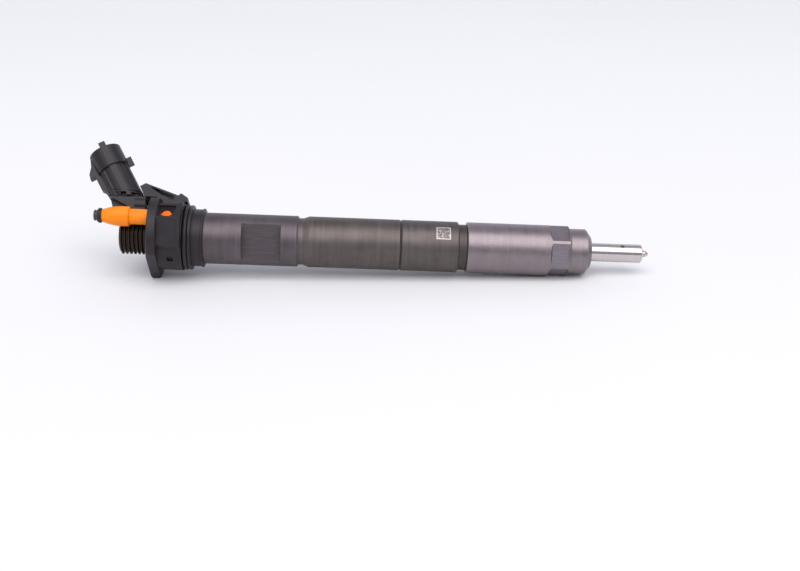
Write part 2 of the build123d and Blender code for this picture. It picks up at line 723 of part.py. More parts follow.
with BuildPart() as head_housing:
    turn(
        [
            (FLANGE_FRONT, 0),
            (FLANGE_FRONT, FLANGE_R - 0.9),
            (FLANGE_FRONT + 0.5, FLANGE_R),
            (FLANGE_BACK - 0.3, FLANGE_R),
            (FLANGE_BACK, FLANGE_R - 0.3),
            (FLANGE_BACK, BARREL_R),
            (BARREL_END, BARREL_R),
            (BARREL_END, SEAL_GROOVE_R),
            (SEAL_GROOVE_END, SEAL_GROOVE_R),
            (SEAL_GROOVE_END, RING_R),
            (COLLAR_START - 0.2, RING_R),
            (COLLAR_START, RING_R - 0.2),
            (COLLAR_START, COLLAR_R),
            (HEAD_END - 0.9, COLLAR_R),
            (HEAD_END - 0.7, COLLAR_R + 0.3),
            (HEAD_END - 0.2, COLLAR_R + 0.3),
            (HEAD_END, COLLAR_R - 0.1),
            (HEAD_END, 0),
        ]
    )
    # foot: the flange is cut flat where the injector rests on it
    flange_middle = (FLANGE_FRONT + FLANGE_BACK) / 2
    block(facing(flange_middle, DOWN_ANGLE, FLANGE_FOOT), 6, 30, 3, Mode.SUBTRACT)
    # flat facet on the flange's lower side, and its crest cut level beside the saddle
    block(facing(flange_middle, FLANGE_SIDE_ANGLE, FLANGE_SIDE), 3.5, 30, 5, Mode.SUBTRACT)
    block(facing(flange_middle, 90, FLANGE_CREST), 3.5, 30, 5, Mode.SUBTRACT)
    # boss round the return spigot, with a flat side panel below its pocket
    prism(
        across(BOSS_END),
        [(3.0, 9.0), (3.0, 11.9), (8.0, 11.9), (13.7, 6.6), (13.7, -3.6), (10.5, -5.2), (8.0, 0)],
        BOSS_END - FLANGE_BACK + 0.5,
    )
    # rib that closes the boss towards the seal
    prism(
        across(BOSS_END + 1.2),
        [(3.0, 9.0), (3.0, 12.2), (8.2, 12.2), (14.1, 6.7), (14.1, -3.9), (10.5, -5.8), (8.0, 0)],
        1.2,
    )
    # saddle under the connector, with a fuller shoulder beside the flange
    saddle_plane = Plane(
        origin=at(SADDLE_END, CONNECTOR_ANGLE, SADDLE_TOP - SADDLE_DEPTH / 2),
        x_dir=radial(CONNECTOR_ANGLE - 90),
        z_dir=-X_DIR,
    )
    for half_width, rounding, start in (
        (SADDLE_HALF_WIDTH, 0.9, SADDLE_TIP),
        (SHOULDER_HALF_WIDTH, 2.9, SHOULDER_START),
    ):
        with BuildSketch(saddle_plane) as section:
            RectangleRounded(2 * half_width, SADDLE_DEPTH, rounding)
        extrude(section.sketch, amount=SADDLE_END - start)
    # the saddle's overhang is cut back obliquely, down to a narrower web
    prism(
        SADDLE_PLANE,
        [(-181.5, 13.9), (-180.3, 13.3), (-173.4, 9.8), (-170.9, 8.5), (-170.9, 7), (-181.5, 7)],
        8,
        mode=Mode.SUBTRACT,
        both=True,
    )
    prism(
        SADDLE_PLANE,
        [(-180.2, 13.5), (-179.2, 10.2), (-178.9, 8.0), (-168.0, 8.0), (-168.0, 13.5)],
        WEB_HALF_WIDTH,
        both=True,
    )
    # ramp behind the connector
    prism(
        SADDLE_PLANE,
        [
            (-160.5, 8.0),
            (-167.5, 10.0),
            connector_point(CONNECTOR_FOOT, CONNECTOR_REACH),
            connector_point(2.47, CONNECTOR_REACH),
            (-165.2, RAMP_TOP),
            (-161.0, 14.7),
            (-157.4, 13.0),
            (BARREL_END - 0.5, 13.0),
            (BARREL_END - 0.5, 8.0),
        ],
        RAMP_HALF_WIDTH,
        both=True,
    )
    # core for the steel body, and room over the inlet thread
    ring(FLANGE_FRONT, CORE_END, 0, HEAD_CORE_R, mode=Mode.SUBTRACT)
    ring(CORE_END, HEAD_END, 0, COLLAR_CORE_R, mode=Mode.SUBTRACT)
    ring(SADDLE_TIP - 1, FLANGE_FRONT, 0, 8.4, mode=Mode.SUBTRACT)
    # seat, seal room, stem bore, pocket and window of the return spigot
    ring(FLANGE_FRONT, SPIGOT_SEAT, 0, SPIGOT_SHANK_R, SPIGOT_LINE, Mode.SUBTRACT)
    ring(SPIGOT_SEAT, SPIGOT_SEAL_END, 0, 2.35, SPIGOT_LINE, Mode.SUBTRACT)
    ring(SPIGOT_SEAL_END, SPIGOT_INNER_END, 0, SPIGOT_STEM_R + 0.02, SPIGOT_LINE, Mode.SUBTRACT)
    with BuildSketch(on_spigot(LUG_X, POCKET_HEIGHT)):
        with Locations((0, POCKET_SHIFT)):
            Rectangle(6.2, POCKET_WIDTH)
    extrude(amount=4, mode=Mode.SUBTRACT)
    with BuildSketch(on_spigot(LUG_X, 0)):
        Circle(WINDOW_R)
    extrude(amount=3, mode=Mode.SUBTRACT)
    bore(at(LEAK_X, SPIGOT_ANGLE, 7.0), at(LEAK_X, SPIGOT_ANGLE, 10.0), 0.6)
    # small moulding notch under the barrel
    block(facing(-156.0, -44.0, BARREL_R - 1.0), 2.2, 2.4, 2, Mode.SUBTRACT)
    # chamber that the contact rails lie in
    prism(
        SADDLE_PLANE,
        [
            (-156.4, 3.4),
            (-159.6, 3.4),
            (-159.6, 7.4),
            (-171.8, 10.9),
            (-177.0, SADDLE_TOP + 0.2),
            (-171.0, SADDLE_TOP + 0.2),
            (-169.6, 13.8),
            (-156.4, 9.8),
        ],
        2.6,
        mode=Mode.SUBTRACT,
        both=True,
    )

with BuildPart() as head_seal_ring:
    with BuildSketch(AXIS_LINE):
        with Locations(((BARREL_END + SEAL_GROOVE_END) / 2, SEAL_GROOVE_R + SEAL_WIRE)):
            Ellipse(SEAL_WIRE - 0.05, SEAL_WIRE)
    revolve(axis=Axis.X)

# ---- Cover strap that closes the ramp behind the connector ----
with BuildPart() as contact_cover:
    prism(
        SADDLE_PLANE,
        [
            connector_point(2.47, CONNECTOR_REACH),
            (-169.4, RAMP_TOP + 0.5),
            (-167.3, RAMP_TOP + 1.75),
            (-155.0, 14.85),
            (-154.0, 15.75),
            (-151.4, 14.0),
            (-151.4, 12.4),
            (BARREL_END - 0.4, 12.4),
            (BARREL_END - 0.4, 13.0),
            (-156.4, 13.0),
            (-156.4, 14.5),
            (-165.2, RAMP_TOP + 0.4),
            (-165.2, RAMP_TOP),
        ],
        RAMP_HALF_WIDTH,
        both=True,
    )

# ---- Contact rails from the actuator's pins to the connector ----
with BuildPart() as contact_rails:
    for side in (-1, 1):
        rail_plane = Plane(
            origin=radial(CONNECTOR_ANGLE - 90) * side * 1.65,
            x_dir=SADDLE_PLANE.x_dir,
            z_dir=SADDLE_PLANE.z_dir,
        )
        prism(
            rail_plane,
            [
                connector_point(TERMINAL_FOOT, -1.05),
                connector_point(TERMINAL_FOOT, 1.05),
                (-171.5, 12.85),
                (-157.4, 8.7),
                (-157.4, 2.7),
                (-158.4, 2.7),
                (-158.4, 7.9),
                (-172.2, 12.05),
            ],
            0.4,
            both=True,
        )

# ---- Electrical connector ----
RIDGE_ANGLES = (-51, 231)
RIB_ANGLES = (66, 114)
RAIL_ANGLE = 3.4
RAIL_WIDTH = 2.4
BAND_RADII = (15.2, 16.2)
# station and depth of the windows at the foot
FOOT_WINDOWS = ((-175.05, 3.8), (-171.1, 3.4))

with BuildPart() as connector_shell:
    neck_length = CONNECTOR_COLLAR_START - CONNECTOR_FOOT
    with BuildSketch(connector_plane(CONNECTOR_FOOT)):
        Circle(CONNECTOR_NECK_R)
    extrude(amount=neck_length)
    with BuildSketch(connector_plane(CONNECTOR_COLLAR_START)):
        Circle(CONNECTOR_COLLAR_R)
    extrude(amount=CONNECTOR_LENGTH - CONNECTOR_COLLAR_START)
    # round ridges and flat ribs along the neck, the same on both sides
    with BuildSketch(connector_plane(CONNECTOR_FOOT)):
        for ridge_angle in RIDGE_ANGLES:
            with PolarLocations(4.3, 1, ridge_angle):
                Circle(1.6)
    extrude(amount=neck_length - 0.4)
    with BuildSketch(connector_plane(CONNECTOR_FOOT)):
        for rib_angle in RIB_ANGLES:
            with PolarLocations(5.15, 1, rib_angle):
                Rectangle(1.5, 1.3)
    extrude(amount=neck_length)
    # bands across the foot, level with the saddle
    for band_radius in BAND_RADII:
        rise = band_radius - CONNECTOR_BASE_R
        band_x = CONNECTOR_BASE_X - rise * tan(radians(CONNECTOR_LEAN))
        band_middle = at(band_x, CONNECTOR_ANGLE, band_radius)
        with BuildSketch(Plane(band_middle, X_DIR, radial(CONNECTOR_ANGLE))):
            Ellipse(CONNECTOR_NECK_R / cos(radians(CONNECTOR_LEAN)) + 0.3, CONNECTOR_NECK_R + 0.3)
        extrude(amount=0.45)
    # flat rail up the neck, which stands a little proud of the collar and ends as a tab
    with BuildSketch(connector_plane(CONNECTOR_FOOT)):
        with PolarLocations(4.75, 1, RAIL_ANGLE):
            Rectangle(2.1, RAIL_WIDTH)
    extrude(amount=neck_length)
    with BuildSketch(connector_plane(CONNECTOR_COLLAR_START)):
        with PolarLocations(5.5, 1, RAIL_ANGLE):
            Rectangle(1.7, RAIL_WIDTH)
    extrude(amount=CONNECTOR_LENGTH - CONNECTOR_COLLAR_START + 1.7)
    # key on the side that faces the injector
    with BuildSketch(connector_plane(13.9)):
        with PolarLocations(6.5, 1, 88):
            Rectangle(2.8, 2.2)
    extrude(amount=3.1)
    # latch wedge on the other side, and the fin below it
    prism(
        SADDLE_PLANE,
        [
            connector_point(CONNECTOR_LENGTH - 0.6, -6.0),
            connector_point(19.5, -7.1),
            connector_point(17.1, -8.85),
            connector_point(15.25, -9.3),
            connector_point(15.25, -7.3),
            connector_point(9.3, -7.3),
            connector_point(8.3, -6.4),
            connector_point(3.0, -5.8),
            connector_point(3.0, -4.8),
            connector_point(CONNECTOR_LENGTH - 0.6, -4.8),
        ],
        1.5,
        both=True,
    )
    # level foot, which stands on the saddle
    prism(
        SADDLE_PLANE,
        [(-184.0, SADDLE_TOP), (-164.0, SADDLE_TOP), (-164.0, 8.0), (-184.0, 8.0)],
        8,
        mode=Mode.SUBTRACT,
        both=True,
    )
    # small windows at the foot, on both sides
    for window_x, window_depth in FOOT_WINDOWS:
        for side in (-1, 1):
            outward = radial(CONNECTOR_ANGLE - 90) * side
            window_middle = at(window_x, CONNECTOR_ANGLE, SADDLE_TOP + 0.6) + outward * window_depth
            block(Plane(window_middle, X_DIR, outward), 2.1, 1.2, 3, Mode.SUBTRACT)
    # socket, with a lead-in
    with BuildSketch(connector_plane(SOCKET_FLOOR)):
        Circle(SOCKET_R)
    extrude(amount=CONNECTOR_LENGTH - SOCKET_FLOOR, mode=Mode.SUBTRACT)
    with BuildSketch(connector_plane(CONNECTOR_LENGTH - 0.8)):
        Circle(SOCKET_R)
    with BuildSketch(connector_plane(CONNECTOR_LENGTH)):
        Circle(SOCKET_R + 0.8)
    loft(mode=Mode.SUBTRACT)
    # slots that hold the terminals
    with BuildSketch(connector_plane(CONNECTOR_FOOT)):
        with GridLocations(3.8, 1, 2, 1):
            Rectangle(0.76, 2.1)
    extrude(amount=SOCKET_FLOOR - CONNECTOR_FOOT, mode=Mode.SUBTRACT)

with BuildPart() as connector_terminals:
    with BuildSketch(connector_plane(TERMINAL_FOOT)):
        with GridLocations(3.8, 1, 2, 1):
            Rectangle(0.76, 2.1)
    extrude(amount=TERMINAL_TOP - TERMINAL_FOOT)
    # bevelled tips
    with BuildSketch(connector_plane(TERMINAL_TOP)):
        with GridLocations(3.8, 1, 2, 1):
            Rectangle(0.76, 2.1)
    extrude(amount=0.7, taper=25)

# ---- Return spigot with its lug, seals and tip ----
with BuildPart() as return_spigot:
    with BuildSketch(SPIGOT_LINE) as section:
        with BuildLine():
            Polyline(
                (SPIGOT_TAPER_END, SPIGOT_BORE_R),
                (SPIGOT_NECK_END, SPIGOT_BORE_R),
                (SPIGOT_NECK_END, SPIGOT_NECK_R),
                (SPIGOT_TAPER_END, SPIGOT_NECK_R),
                (SPIGOT_TAPER_END, 2.25),
            )
            ThreePointArc(
                (SPIGOT_TAPER_END, 2.25),
                (SPIGOT_TAPER_END + 3.1, 3.2),
                (SPIGOT_BARREL_END, SPIGOT_BARREL_R),
            )
            Polyline(
                (SPIGOT_BARREL_END, SPIGOT_BARREL_R),
                (SPIGOT_STEP, SPIGOT_BARREL_R),
                (SPIGOT_STEP + 0.5, SPIGOT_SHANK_R),
                (SPIGOT_SEAT, SPIGOT_SHANK_R),
                (SPIGOT_SEAT, SPIGOT_STEM_R),
                (SPIGOT_INNER_END - 0.1, SPIGOT_STEM_R),
                (SPIGOT_INNER_END - 0.1, SPIGOT_BORE_R),
                (SPIGOT_TAPER_END, SPIGOT_BORE_R),
            )
        make_face()
    revolve(axis=Axis(SPIGOT_LINE.origin, X_DIR))
    with BuildSketch(on_spigot(LUG_X, SPIGOT_BORE_R + 0.2)):
        Circle(LUG_R)
    extrude(amount=LUG_HEIGHT - SPIGOT_BORE_R - 0.2)
    # fuel returns through a cross hole below the lug
    bore(at(LEAK_X, SPIGOT_ANGLE, 9.2), at(LEAK_X, SPIGOT_ANGLE, SPIGOT_OFFSET), 0.5)

with BuildPart() as return_oring:
    with BuildSketch(SPIGOT_LINE):
        with Locations(((SPIGOT_NECK_END + SPIGOT_TAPER_END) / 2, SPIGOT_NECK_R + 0.45)):
            Ellipse(0.73, 0.45)
    revolve(axis=Axis(SPIGOT_LINE.origin, X_DIR))

with BuildPart() as spigot_tip:
    turn(
        [
            (SPIGOT_NECK_END, SPIGOT_BORE_R),
            (SPIGOT_NECK_END, 2.1),
            (SPIGOT_NECK_END - 0.35, 2.1),
            (SPIGOT_NECK_END - 0.45, 1.75),
            (SPIGOT_NECK_END - 0.8, 1.75),
            (SPIGOT_NECK_END - 0.9, 2.0),
            (SPIGOT_NECK_END - 1.2, 2.0),
            (SPIGOT_NECK_END - 1.4, 1.8),
            (SPIGOT_NECK_END - 1.4, SPIGOT_BORE_R),
        ],
        SPIGOT_LINE,
    )

with BuildPart() as spigot_inner_oring:
    with BuildSketch(SPIGOT_LINE):
        with Locations((SPIGOT_SEAT + 1.2, SPIGOT_STEM_R + 0.315)):
            Ellipse(0.45, 0.31)
    revolve(axis=Axis(SPIGOT_LINE.origin, X_DIR))

# ---- Write each piece ----
PIECES = {
    "injector_body": injector_body,
    "retaining_nut": retaining_nut,
    "nozzle_body": nozzle_body,
    "nozzle_needle": nozzle_needle,
    "needle_sleeve": needle_sleeve,
    "spring_ring": spring_ring,
    "needle_spring": needle_spring,
    "throttle_plate": throttle_plate,
    "valve_plate": valve_plate,
    "dowel_pins": dowel_pins,
    "valve_pin": valve_pin,
    "valve_spring": valve_spring,
    "coupler_sleeve": coupler_sleeve,
    "coupler_small_piston": coupler_small_piston,
    "coupler_large_piston": coupler_large_piston,
    "coupler_lower_spring": coupler_lower_spring,
    "coupler_upper_spring": coupler_upper_spring,
    "actuator_foot": actuator_foot,
    "piezo_stack": piezo_stack,
    "stack_electrodes": stack_electrodes,
    "actuator_tube_spring": actuator_tube_spring,
    "actuator_sleeve": actuator_sleeve,
    "actuator_head": actuator_head,
    "actuator_seal_ring": actuator_seal_ring,
    "contact_pins": contact_pins,
    "pin_insulators": pin_insulators,
    "inlet_edge_filter": inlet_edge_filter,
    "head_housing": head_housing,
    "head_seal_ring": head_seal_ring,
    "contact_cover": contact_cover,
    "contact_rails": contact_rails,
    "connector_shell": connector_shell,
    "connector_terminals": connector_terminals,
    "return_spigot": return_spigot,
    "return_oring": return_oring,
    "spigot_tip": spigot_tip,
    "spigot_inner_oring": spigot_inner_oring,
}

os.makedirs("parts", exist_ok=True)
for name, piece in PIECES.items():
    piece.part.label = name
    export_step(piece.part, f"parts/{name}.step")
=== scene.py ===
import bpy
import math
from mathutils import Matrix, Vector

# Common-rail diesel injector with a piezo actuator, lying on a pale floor.
# Everything is in metres in the CAD frame: X runs along the injector towards the spray tip,
# and X = 0 is the end face of the retaining nut.

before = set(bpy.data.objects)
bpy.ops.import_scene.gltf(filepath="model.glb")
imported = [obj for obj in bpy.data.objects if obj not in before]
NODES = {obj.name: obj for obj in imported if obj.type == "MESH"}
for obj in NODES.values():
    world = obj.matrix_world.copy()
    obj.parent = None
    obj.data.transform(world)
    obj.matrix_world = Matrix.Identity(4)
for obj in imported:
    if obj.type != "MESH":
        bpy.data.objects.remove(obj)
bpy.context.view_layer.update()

MM = 0.001
ROLL = math.radians(22.0)  # the injector lies rolled about its axis by this much
BODY_R = 9.5 * MM
SHANK_R = 3.5 * MM

# where along X a finish or a painted shade starts and ends, or fades in
THREAD_X = (-164.0 * MM, -164.5 * MM)
PAINTED_LUG_SHADE_X = (-163.0 * MM, -162.0 * MM)
FLATS_X = (-130.5 * MM, -116.0 * MM)
BROWNING_X = (-109.8 * MM, -108.0 * MM)
GROOVES_X = (-73.0 * MM, -47.0 * MM)
HEXAGON_X = (-15.3 * MM, -8.6 * MM)
TIP_TINGE_X = (18.6 * MM, 22.5 * MM)


# ---------------------------------------------------------------- node helpers
class Graph:
    """One procedural material, with short calls for the nodes it is built from."""

    def __init__(self, name, **finish):
        self.material = bpy.data.materials.new(name)
        self.material.use_nodes = True
        self.nodes = self.material.node_tree.nodes
        self.links = self.material.node_tree.links
        self.shader = self.nodes["Principled BSDF"]
        for socket, value in finish.items():
            self.shader.inputs[socket.replace("_", " ")].default_value = value
        self.place = self.nodes.new("ShaderNodeTexCoord").outputs["Object"]

    def feed(self, source, socket):
        """Give a socket a link or a constant."""
        if isinstance(source, bpy.types.NodeSocket):
            self.links.new(source, socket)
        elif source is not None:
            socket.default_value = source

    def math(self, operation, first, second=None):
        node = self.nodes.new("ShaderNodeMath")
        node.operation = operation
        for source, socket in zip((first, second), node.inputs):
            self.feed(source, socket)
        return node.outputs["Value"]

    def vector_math(self, operation, first, second=None):
        node = self.nodes.new("ShaderNodeVectorMath")
        node.operation = operation
        for source, socket in zip((first, second), node.inputs):
            self.feed(source, socket)
        return node.outputs["Value" if operation == "DOT_PRODUCT" else "Vector"]

    def combined(self, x=None, y=None, z=None):
        """A vector from its parts."""
        node = self.nodes.new("ShaderNodeCombineXYZ")
        for source, socket in zip((x, y, z), node.inputs):
            self.feed(source, socket)
        return node.outputs["Vector"]

    def parts(self):
        """X, Y and Z of the surface point."""
        node = self.nodes.new("ShaderNodeSeparateXYZ")
        self.feed(self.place, node.inputs["Vector"])
        return node.outputs["X"], node.outputs["Y"], node.outputs["Z"]

    def scaled(self, x, y, z):
        """Surface point, stretched differently along each axis."""
        return self.vector_math("MULTIPLY", self.place, (x, y, z))

    def noise(self, vector, scale=1.0, detail=3.0, roughness=0.55):
        node = self.nodes.new("ShaderNodeTexNoise")
        self.feed(vector, node.inputs["Vector"])
        node.inputs["Scale"].default_value = scale
        node.inputs["Detail"].default_value = detail
        node.inputs["Roughness"].default_value = roughness
        return node.outputs["Fac"]

    def cells(self, vector, scale, randomness):
        """A random grey for each cell of an uneven grid."""
        node = self.nodes.new("ShaderNodeTexVoronoi")
        self.feed(vector, node.inputs["Vector"])
        node.inputs["Scale"].default_value = scale
        node.inputs["Randomness"].default_value = randomness
        grey = self.nodes.new("ShaderNodeSeparateColor")
        self.links.new(node.outputs["Color"], grey.inputs["Color"])
        return grey.outputs["Red"]

    def spread(self, value, low, high, to_low=0.0, to_high=1.0, smooth=False):
        """Map a value from one range to another, held at the ends."""
        node = self.nodes.new("ShaderNodeMapRange")
        node.interpolation_type = "SMOOTHSTEP" if smooth else "LINEAR"
        self.feed(value, node.inputs["Value"])
        node.inputs["From Min"].default_value = low
        node.inputs["From Max"].default_value = high
        node.inputs["To Min"].default_value = to_low
        node.inputs["To Max"].default_value = to_high
        return node.outputs["Result"]

    def between(self, value, low, high, soft):
        """1 between two numbers and 0 outside them, with soft edges."""
        rise = self.spread(value, low - soft, low + soft, smooth=True)
        fall = self.spread(value, high - soft, high + soft, 1.0, 0.0, smooth=True)
        return self.math("MULTIPLY", rise, fall)

    def mix(self, factor, first, second):
        """Blend two colours."""
        node = self.nodes.new("ShaderNodeMix")
        node.data_type = "RGBA"
        self.feed(factor, node.inputs[0])
        for source, socket in ((first, node.inputs[6]), (second, node.inputs[7])):
            self.feed((*source, 1.0) if isinstance(source, tuple) else source, socket)
        return node.outputs[2]

    def mix_vectors(self, factor, first, second):
        """Blend two directions."""
        node = self.nodes.new("ShaderNodeMix")
        node.data_type = "VECTOR"
        for source, index in ((factor, 0), (first, 4), (second, 5)):
            self.feed(source, node.inputs[index])
        return node.outputs[1]

    def blend(self, factor, first, second):
        """Blend two numbers."""
        node = self.nodes.new("ShaderNodeMix")
        for source, index in ((factor, 0), (first, 2), (second, 3)):
            self.feed(source, node.inputs[index])
        return node.outputs[0]

    def length(self, first, second):
        """Length of the diagonal of two sides."""
        squares = self.math("ADD", self.math("MULTIPLY", first, first), self.math("MULTIPLY", second, second))
        return self.math("SQRT", squares)

    def sunk(self, shallow, full):
        """0 at the shallow depth under the injector's outer surface, and 1 at the full depth."""
        _, y, z = self.parts()
        return self.spread(self.length(y, z), BODY_R - shallow, BODY_R - full)

    def own_angle(self):
        """Angle round the injector in radians: 0 on the marked side, growing upward."""
        _, y, z = self.parts()
        turned = self.math("ARCTAN2", z, self.math("MULTIPLY", y, -1.0))
        return self.math("SUBTRACT", turned, ROLL)

    def edges(self, radius, samples=5):
        """Rounded-over normal, and a mask that is 1 on the sharp edges."""
        bevel = self.nodes.new("ShaderNodeBevel")
        bevel.samples = samples
        bevel.inputs["Radius"].default_value = radius
        geometry = self.nodes.new("ShaderNodeNewGeometry")
        turn = self.vector_math("DOT_PRODUCT", bevel.outputs["Normal"], geometry.outputs["Normal"])
        return bevel.outputs["Normal"], self.spread(turn, 0.99, 0.80, smooth=True)

    def turned(self, normal, but_not=None):
        """The normal, made exactly round about X where the mesh is within about 5 degrees of that."""
        _, y, z = self.parts()
        outward = self.vector_math("NORMALIZE", self.combined(y=y, z=z))
        agree = self.spread(self.vector_math("DOT_PRODUCT", normal, outward), 0.9955, 0.9980)
        if but_not is not None:
            agree = self.math("MULTIPLY", agree, self.math("SUBTRACT", 1.0, but_not))
        return self.mix_vectors(agree, normal, outward)

    def bump(self, height, distance, strength=1.0, normal=None):
        node = self.nodes.new("ShaderNodeBump")
        node.inputs["Distance"].default_value = distance
        node.inputs["Strength"].default_value = strength
        self.feed(height, node.inputs["Height"])
        self.feed(normal, node.inputs["Normal"])
        return node.outputs["Normal"]

    def finish(self, colour=None, roughness=None, normal=None):
        self.feed(colour, self.shader.inputs["Base Color"])
        self.feed(roughness, self.shader.inputs["Roughness"])
        self.feed(normal, self.shader.inputs["Normal"])
        return self.material


def turning_marks(g, fine, coarse):
    """Streaks that run round the injector, as a lathe or grinding wheel leaves them."""
    hair = g.noise(g.scaled(fine, 70.0, 70.0), detail=2.0)
    band = g.noise(g.scaled(coarse, 25.0, 25.0), detail=3.0)
    return g.math("ADD", g.math("MULTIPLY", hair, 0.5), g.math("MULTIPLY", band, 0.5))


# ---------------------------------------------------------------- steels
GREY_STEEL = (0.166, 0.141, 0.152)
GREY_STEEL_DARK = (0.106, 0.089, 0.097)
BROWNED_STEEL = (0.174, 0.149, 0.143)
BROWNED_STEEL_DARK = (0.105, 0.091, 0.085)
MILLED_STEEL = (0.142, 0.121, 0.132)
MILLED_STEEL_DARK = (0.110, 0.094, 0.103)
NUT_STEEL = (0.302, 0.256, 0.272)
NUT_STEEL_DARK = (0.218, 0.183, 0.197)
GROUND_STEEL = (0.314, 0.277, 0.310)
GROUND_STEEL_DARK = (0.244, 0.214, 0.240)
BRIGHT_STEEL = (0.66, 0.60, 0.605)
BRIGHT_STEEL_DARK = (0.53, 0.48, 0.485)

# the etched data field: its middle, from X and as a length round the body, and half its side
FIELD_X = -56.0 * MM
FIELD_ROUND = 5.06 * MM
FIELD_HALF = 2.68 * MM
FIELD_BORDER = 0.35 * MM


def etched_field(g, x):
    """A frosted square outline filled with uneven specks, and no lettering.

    Gives a mask of the whole square, and a mask of what is etched in it."""
    around = g.math("MULTIPLY", g.own_angle(), BODY_R)
    along = g.math("ABSOLUTE", g.math("SUBTRACT", x, FIELD_X))
    across = g.math("ABSOLUTE", g.math("SUBTRACT", around, FIELD_ROUND))
    reach = g.math("MAXIMUM", along, across)
    inside = g.spread(reach, FIELD_HALF + 0.04 * MM, FIELD_HALF - 0.04 * MM)
    border = g.between(reach, FIELD_HALF - FIELD_BORDER, FIELD_HALF, 0.05 * MM)
    speck = g.spread(g.cells(g.combined(x, around), 2600.0, 0.25), 0.45, 0.55)
    smear = g.spread(g.noise(g.scaled(900.0, 900.0, 900.0)), 0.35, 0.65)
    filling = g.math("MULTIPLY", speck, g.math("MULTIPLY", smear, 0.75))
    return inside, g.math("MULTIPLY", g.math("MAXIMUM", border, filling), inside)


def body_steel():
    g = Graph("body_steel", Metallic=1.0)
    x, _, _ = g.parts()
    marks = turning_marks(g, 4600.0, 480.0)
    cloud = g.noise(g.scaled(130.0, 160.0, 160.0), detail=4.0)
    worn = g.spread(g.math("ADD", marks, g.math("MULTIPLY", cloud, 0.5)), 0.55, 0.95)
    upper = g.mix(worn, GREY_STEEL_DARK, GREY_STEEL)
    lower = g.mix(worn, BROWNED_STEEL_DARK, BROWNED_STEEL)
    colour = g.mix(g.spread(x, *BROWNING_X, smooth=True), upper, lower)
    # milled flats: a little darker, with the cutter's marks along the injector
    flat = g.math("MULTIPLY", g.between(x, *FLATS_X, 0.02 * MM), g.sunk(0.12 * MM, 0.22 * MM))
    cutter = g.noise(g.scaled(160.0, 2600.0, 2600.0), detail=2.0)
    milled = g.mix(g.spread(cutter, 0.3, 0.7), MILLED_STEEL_DARK, MILLED_STEEL)
    colour = g.mix(flat, colour, milled)
    # thread darker all over, and grooves darker the further they sink below the outer surface
    groove = g.math("MULTIPLY", g.between(x, *GROOVES_X, 0.1 * MM), g.sunk(0.1 * MM, 0.5 * MM))
    colour = g.mix(g.spread(x, *THREAD_X), colour, (0.050, 0.036, 0.030))
    colour = g.mix(g.math("MULTIPLY", groove, 0.45), colour, (0.045, 0.040, 0.038))
    # etched data field on a browned square
    inside, etched = etched_field(g, x)
    colour = g.mix(g.math("MULTIPLY", inside, 0.45), colour, (0.21, 0.15, 0.12))
    colour = g.mix(etched, colour, (0.62, 0.60, 0.60))
    rounded, edge = g.edges(0.12 * MM)
    # sharp edges paler: partly rubbed, partly a painted edge highlight
    colour = g.mix(g.math("MULTIPLY", edge, 0.55), colour, (0.42, 0.39, 0.38))
    rough = g.spread(marks, 0.3, 0.7, 0.43, 0.58)
    rough = g.blend(g.math("MAXIMUM", etched, flat), rough, 0.62)
    return g.finish(colour, rough, g.bump(marks, 0.004 * MM, 0.5, g.turned(rounded, flat)))


def nut_steel():
    g = Graph("nut_steel", Metallic=1.0)
    x, _, _ = g.parts()
    marks = turning_marks(g, 4200.0, 500.0)
    cloud = g.noise(g.scaled(260.0, 240.0, 240.0), detail=5.0)
    worn = g.spread(g.math("ADD", marks, g.math("MULTIPLY", cloud, 0.8)), 0.65, 1.1)
    speckle = g.spread(g.noise(g.place, scale=2200.0, detail=3.0), 0.35, 0.65)
    colour = g.mix(g.blend(0.40, worn, speckle), NUT_STEEL_DARK, NUT_STEEL)
    # ground hexagon: cooler and smoother than the turned shaft
    facet = g.math("MULTIPLY", g.between(x, *HEXAGON_X, 0.02 * MM), g.sunk(0.08 * MM, 0.16 * MM))
    grain = g.noise(g.scaled(300.0, 3800.0, 3800.0), detail=2.0)
    ground = g.mix(g.spread(grain, 0.3, 0.7), GROUND_STEEL_DARK, GROUND_STEEL)
    colour = g.mix(facet, colour, ground)
    rounded, edge = g.edges(0.30 * MM)
    # painted highlight: light frames along the hexagon's facet edges and the other sharp edges
    colour = g.mix(g.math("MULTIPLY", edge, 0.75), colour, (0.62, 0.55, 0.57))
    rough = g.spread(cloud, 0.3, 0.7, 0.34, 0.46)
    return g.finish(colour, rough, g.bump(marks, 0.002 * MM, 0.4, g.turned(rounded, facet)))


def nozzle_steel():
    g = Graph("nozzle_steel", Metallic=1.0)
    x, _, _ = g.parts()
    marks = turning_marks(g, 7000.0, 1400.0)
    colour = g.mix(g.spread(marks, 0.35, 0.65), BRIGHT_STEEL_DARK, BRIGHT_STEEL)
    # small brown temper spot near the middle of the shank
    around = g.math("MULTIPLY", g.math("SUBTRACT", g.own_angle(), math.radians(45.0)), SHANK_R)
    away = g.length(g.math("SUBTRACT", x, 12.4 * MM), around)
    ragged = g.math("MULTIPLY", g.noise(g.scaled(900.0, 900.0, 900.0)), 0.9 * MM)
    spot = g.spread(g.math("ADD", away, ragged), 1.55 * MM, 0.75 * MM, smooth=True)
    colour = g.mix(spot, colour, (0.27, 0.135, 0.055))
    # the tip is tinged by heat
    tinge = g.spread(x, *TIP_TINGE_X, 0.0, 0.35)
    colour = g.mix(tinge, colour, (0.50, 0.40, 0.33))
    rounded, _ = g.edges(0.08 * MM)
    rough = g.spread(marks, 0.3, 0.7, 0.09, 0.17)
    return g.finish(colour, rough, g.bump(marks, 0.002 * MM, 0.35, g.turned(rounded)))


